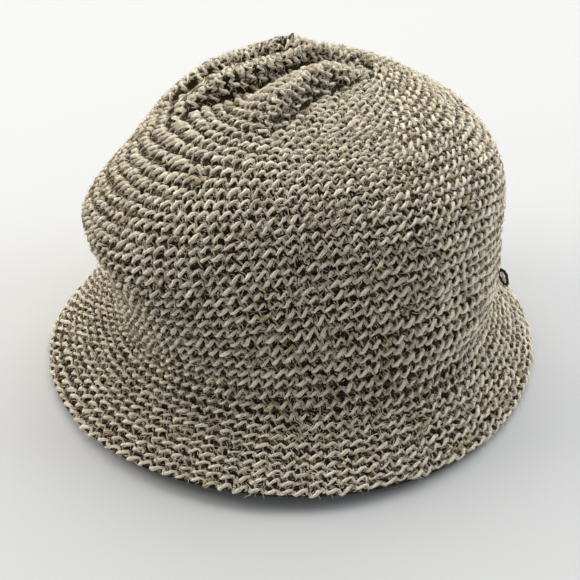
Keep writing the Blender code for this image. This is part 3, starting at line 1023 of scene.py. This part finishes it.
class StudioSettings(bpy.types.PropertyGroup):
    elevation: bpy.props.FloatProperty(
        name="Camera elevation", description="Angle of the camera above the floor",
        default=math.radians(37.0), subtype="ANGLE")
    distance: length_setting("Camera distance", "From the camera to the point it is set by", 0.61)
    focal_pixels: bpy.props.FloatProperty(
        name="Focal length", description="Focal length in pixels of the picture", default=1220.0)
    target_below: bpy.props.FloatProperty(
        name="Target below middle", description="How many pixels below the picture's middle the target falls",
        default=42.0)
    floor_colour: colour_setting("Floor", "Colour of the floor", 0.575, 0.575, 0.57)
    sky: bpy.props.FloatProperty(
        name="Soft light", description="Strength of the light from all round", default=0.42)
    key: bpy.props.FloatProperty(
        name="Window light", description="Power of the large soft light", default=16.0, unit="POWER")


# Pieces

class HAT_OT_ground(bpy.types.Operator):
    """The dark ground of the knit, below the stitches outside and bare inside, in the dark yarn's finish,
    whose near-black colour is partly painted shade of the gaps
    """
    bl_idname = "hat.ground"
    bl_label = "Knit ground"

    def execute(self, context):
        bearings = 360.0 * np.arange(GROUND_COLUMNS) / GROUND_COLUMNS
        runs = np.linspace(0.0, GROUND_TOP_RUN, GROUND_RUNS)
        grid = np.array([outer_form(bearings, np.full(GROUND_COLUMNS, run)) for run in runs])
        around = np.roll(grid, -1, axis=1) - np.roll(grid, 1, axis=1)
        outside = (grid - GROUND_SINK * unit(np.cross(around, np.gradient(grid, axis=0))))[::-1]
        inside = np.array([plain_form(bearings, np.full(GROUND_COLUMNS, run), WALL) for run in runs])
        rings = in_place(np.concatenate([outside, inside]))
        rings[..., 2] = np.maximum(rings[..., 2], GROUND_FLOOR)
        index = np.arange(len(rings) * GROUND_COLUMNS).reshape(len(rings), GROUND_COLUMNS)
        faces = quads_between(index[:-1], index[1:]) + [index[0].tolist(), index[-1][::-1].tolist()]
        belongs(mesh_object("knit_ground", rings.reshape(-1, 3).tolist(), faces,
                            {"tint": np.full(index.size, 0.5)},
                            yarn_material(context.scene.hat_colours, "dark_marl")))
        return {"FINISHED"}


class HAT_OT_dark_yarn(bpy.types.Operator):
    """Dark yarn between the rows of light bars"""
    bl_idname = "hat.dark_yarn"
    bl_label = "Dark yarn"

    def execute(self, context):
        lay_yarn(context, "dark_yarn")
        return {"FINISHED"}


class HAT_OT_thin_strands(bpy.types.Operator):
    """Thin strands that cross down from one row to the next"""
    bl_idname = "hat.thin_strands"
    bl_label = "Thin strands"

    def execute(self, context):
        lay_yarn(context, "thin_strands")
        return {"FINISHED"}


class HAT_OT_light_yarn(bpy.types.Operator):
    """Slanting bars of light yarn, one to a stitch"""
    bl_idname = "hat.light_yarn"
    bl_label = "Light yarn"

    def execute(self, context):
        lay_yarn(context, "light_yarn")
        return {"FINISHED"}


class HAT_OT_loose_loop(bpy.types.Operator):
    """A small loop of dark yarn with a light strand in it, pulled out of the crease at the right"""
    bl_idname = "hat.loose_loop"
    bl_label = "Loose loop"

    def execute(self, context):
        colours = context.scene.hat_colours
        base, outward, upward = self.foot()
        turn = np.linspace(0.0, 2.0 * math.pi, LOOP_POINTS + 1)[:-1]
        rough = LOOP_ROUGHNESS * np.sin(LOOP_WAVES[0] * turn) * np.cos(LOOP_WAVES[1] * turn)
        ring = (base + (LOOP_HALF_WIDTH * (1.0 + np.cos(turn)) + rough)[:, None] * outward
                + LOOP_HALF_HEIGHT * (LOOP_RAISED + np.sin(turn))[:, None] * upward)
        share = np.linspace(0.0, 1.0, CORE_POINTS)[:, None]
        core = (base + LOOP_HALF_WIDTH * outward
                + LOOP_HALF_HEIGHT * (CORE_LENGTH * share + CORE_STARTS) * upward)
        rounding = np.linspace(CORE_END_ROUNDING, 1.0 - CORE_END_ROUNDING, CORE_POINTS)
        self.tube("loose_loop", in_place(ring), True, np.full(LOOP_POINTS, LOOP_RADIUS),
                  yarn_material(colours, "dark_marl"))
        self.tube("loose_loop_core", in_place(core), False, CORE_RADIUS * np.sqrt(np.sin(rounding * math.pi)),
                  yarn_material(colours, "light_marl"))
        return {"FINISHED"}

    def foot(self):
        """The point of the brim that the loop comes out of, with its directions outward and up."""
        base = outer_form(np.array([LOOP_BEARING]), np.array([LOOP_RUN]))[0]
        bearing = math.radians(LOOP_BEARING)
        outward = np.array([math.cos(bearing), math.sin(bearing), 0.0])
        return base, outward, unit(np.array([LOOP_LEAN, 0.0, 1.0]))

    def tube(self, name, path, closed, radii, material):
        """A yarn along a path, closed on itself or with a flat face at each end."""
        count = len(path)
        ahead = np.roll(path, -1, axis=0) - np.roll(path, 1, axis=0) if closed else np.gradient(path, axis=0)
        ahead = unit(ahead)
        flat = unit(np.cross(ahead, np.array(TUBE_ASIDE)))
        deep = np.cross(ahead, flat)
        angle = 2.0 * math.pi * np.arange(TUBE_SIDES) / TUBE_SIDES
        offset = (np.cos(angle)[None, :, None] * flat[:, None, :]
                  + np.sin(angle)[None, :, None] * deep[:, None, :])
        places = (path[:, None, :] + radii[:, None, None] * offset).reshape(-1, 3)
        index = np.arange(count * TUBE_SIDES).reshape(count, TUBE_SIDES)
        if closed:
            faces = quads_between(np.roll(index, -1, axis=0), index)
        else:
            faces = quads_between(index[1:], index[:-1]) + [index[0][::-1].tolist(), index[-1].tolist()]
        belongs(mesh_object(name, places.tolist(), faces, {
            "tint": np.full(len(places), 0.5),
            "along": np.repeat(np.linspace(0.0, TUBE_STITCHES, count), TUBE_SIDES),
            "round_x": np.tile(np.cos(angle), count),
            "round_y": np.tile(np.sin(angle), count)}, material))


class HAT_OT_fuzz(bpy.types.Operator):
    """Fine loose fibres over the yarn, flat across the gaps and standing off as a halo"""
    bl_idname = "hat.fuzz"
    bl_label = "Fuzz"

    def execute(self, context):
        yarn = context.scene.hat_yarn
        stitches = stitches_of_rows(yarn)
        tree = made_once("wool_fuzz", fibre_tree)
        for number, layer in enumerate(FUZZ):
            holder = self.roots(stitches, layer, int(round(layer.share * yarn.fibres)),
                                yarn.seed + FUZZ_ROOT_SEED + number)
            belongs(flattened(baked(layer.name, holder, tree, {
                "Fibre width": layer.width * MM, "Fibre length": layer.length * MM, "Curl": layer.curl,
                "Seed": yarn.seed + FUZZ_SIZE_SEED + number,
                "Material": yarn_material(context.scene.hat_colours, layer.finish)})))
        return {"FINISHED"}

    def roots(self, stitches, layer, count, seed):
        """Where the fibres of a layer stand and which way they point."""
        generator = np.random.default_rng(seed)
        here = picked(stitches, generator.integers(0, len(stitches.row), count))
        upward = np.cross(here.outward, here.across)
        stray = generator.uniform(-0.5, 0.5, (count, 2)) * (1.0, layer.spread)
        place = ((here.gap if layer.in_gap else here.place) + stray[:, :1] * here.width[:, None] * here.across
                 + stray[:, 1:] * here.pitch[:, None] * upward - layer.sink * MM * here.outward)
        turn = generator.uniform(0.0, 2.0 * math.pi, count)
        lean = generator.uniform(layer.least_lean, layer.most_lean, count)
        flat = np.cos(turn)[:, None] * here.across + np.sin(turn)[:, None] * upward
        outward = np.cos(lean)[:, None] * here.outward + np.sin(lean)[:, None] * flat
        across = unit(flat - (flat * outward).sum(axis=1, keepdims=True) * outward)
        return points_object(layer.name, in_place(place), {"across": across, "outward": outward},
                             {"tint": generator.random(count)})


class HAT_OT_studio(bpy.types.Operator):
    """Pale floor, soft light and the camera"""
    bl_idname = "hat.studio"
    bl_label = "Studio"

    def execute(self, context):
        studio = context.scene.hat_studio
        self.floor(studio)
        self.lights(context, studio)
        self.camera(context, studio)
        return {"FINISHED"}

    def floor(self, studio):
        corners = [(x * FLOOR_HALF, y * FLOOR_HALF, 0.0) for x, y in ((-1, -1), (1, -1), (1, 1), (-1, 1))]
        floor = mesh_object("floor", corners, [(0, 1, 2, 3)], {}, floor_material(studio.floor_colour))

    def lights(self, context, studio):
        world = bpy.data.worlds.new("soft_studio")
        world.use_nodes = True
        background = world.node_tree.nodes["Background"]
        background.inputs["Color"].default_value = SKY_COLOUR
        background.inputs["Strength"].default_value = studio.sky
        context.scene.world = world
        for lamp in LAMPS:
            light = bpy.data.lights.new(lamp.name, "AREA")
            light.energy = lamp.share * studio.key
            light.size = lamp.size
            light.color = lamp.colour
            holder = in_scene(lamp.name, light)
            holder.location = lamp.place
            aim = Vector(LAMP_TARGET) - Vector(lamp.place)
            holder.rotation_euler = aim.to_track_quat("-Z", "Y").to_euler()
        context.scene.view_settings.view_transform = "Standard"

    def camera(self, context, studio):
        """A camera turned down to the floor, with the target shifted below the picture's middle."""
        target = Vector((0.0, brim_offset(), 0.0))
        back = Vector((0.0, -math.cos(studio.elevation), math.sin(studio.elevation)))
        data = bpy.data.cameras.new("camera")
        data.sensor_width = SENSOR_WIDTH
        data.lens = SENSOR_WIDTH * studio.focal_pixels / PICTURE_PIXELS
        data.shift_y = studio.target_below / PICTURE_PIXELS
        data.clip_end = CLIP_END
        camera = in_scene("camera", data)
        camera.matrix_world = (Matrix.Translation(target + studio.distance * back)
                               @ Matrix.Rotation(0.5 * math.pi - studio.elevation, 4, "X"))
        context.scene.camera = camera


class HAT_PT_panel(bpy.types.Panel):
    bl_idname = "HAT_PT_panel"
    bl_label = "Cloche hat"
    bl_space_type = "VIEW_3D"
    bl_region_type = "UI"
    bl_category = "Cloche hat"

    def draw(self, context):
        layout = self.layout
        for operator in OPERATORS:
            layout.operator(operator.bl_idname)
        for settings in (context.scene.hat_yarn, context.scene.hat_colours, context.scene.hat_studio):
            box = layout.box()
            for name in settings.bl_rna.properties.keys():
                if name not in ("rna_type", "name"):
                    box.prop(settings, name)


GROUPS = (YarnSettings, YarnColours, StudioSettings)
OPERATORS = (HAT_OT_ground, HAT_OT_dark_yarn, HAT_OT_thin_strands, HAT_OT_light_yarn, HAT_OT_loose_loop,
             HAT_OT_fuzz, HAT_OT_studio)


def register():
    for cls in GROUPS + OPERATORS + (HAT_PT_panel,):
        bpy.utils.register_class(cls)
    bpy.types.Scene.hat_yarn = bpy.props.PointerProperty(type=YarnSettings)
    bpy.types.Scene.hat_colours = bpy.props.PointerProperty(type=YarnColours)
    bpy.types.Scene.hat_studio = bpy.props.PointerProperty(type=StudioSettings)


def unregister():
    del bpy.types.Scene.hat_studio
    del bpy.types.Scene.hat_colours
    del bpy.types.Scene.hat_yarn
    for cls in reversed(GROUPS + OPERATORS + (HAT_PT_panel,)):
        bpy.utils.unregister_class(cls)


def write_sizes():
    """Bring the view layer up to date."""
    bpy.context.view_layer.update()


def main():
    register()
    for operator in OPERATORS:
        group, name = operator.bl_idname.split(".")
        getattr(getattr(bpy.ops, group), name)()
    write_sizes()


if __name__ == "__main__":
    main()
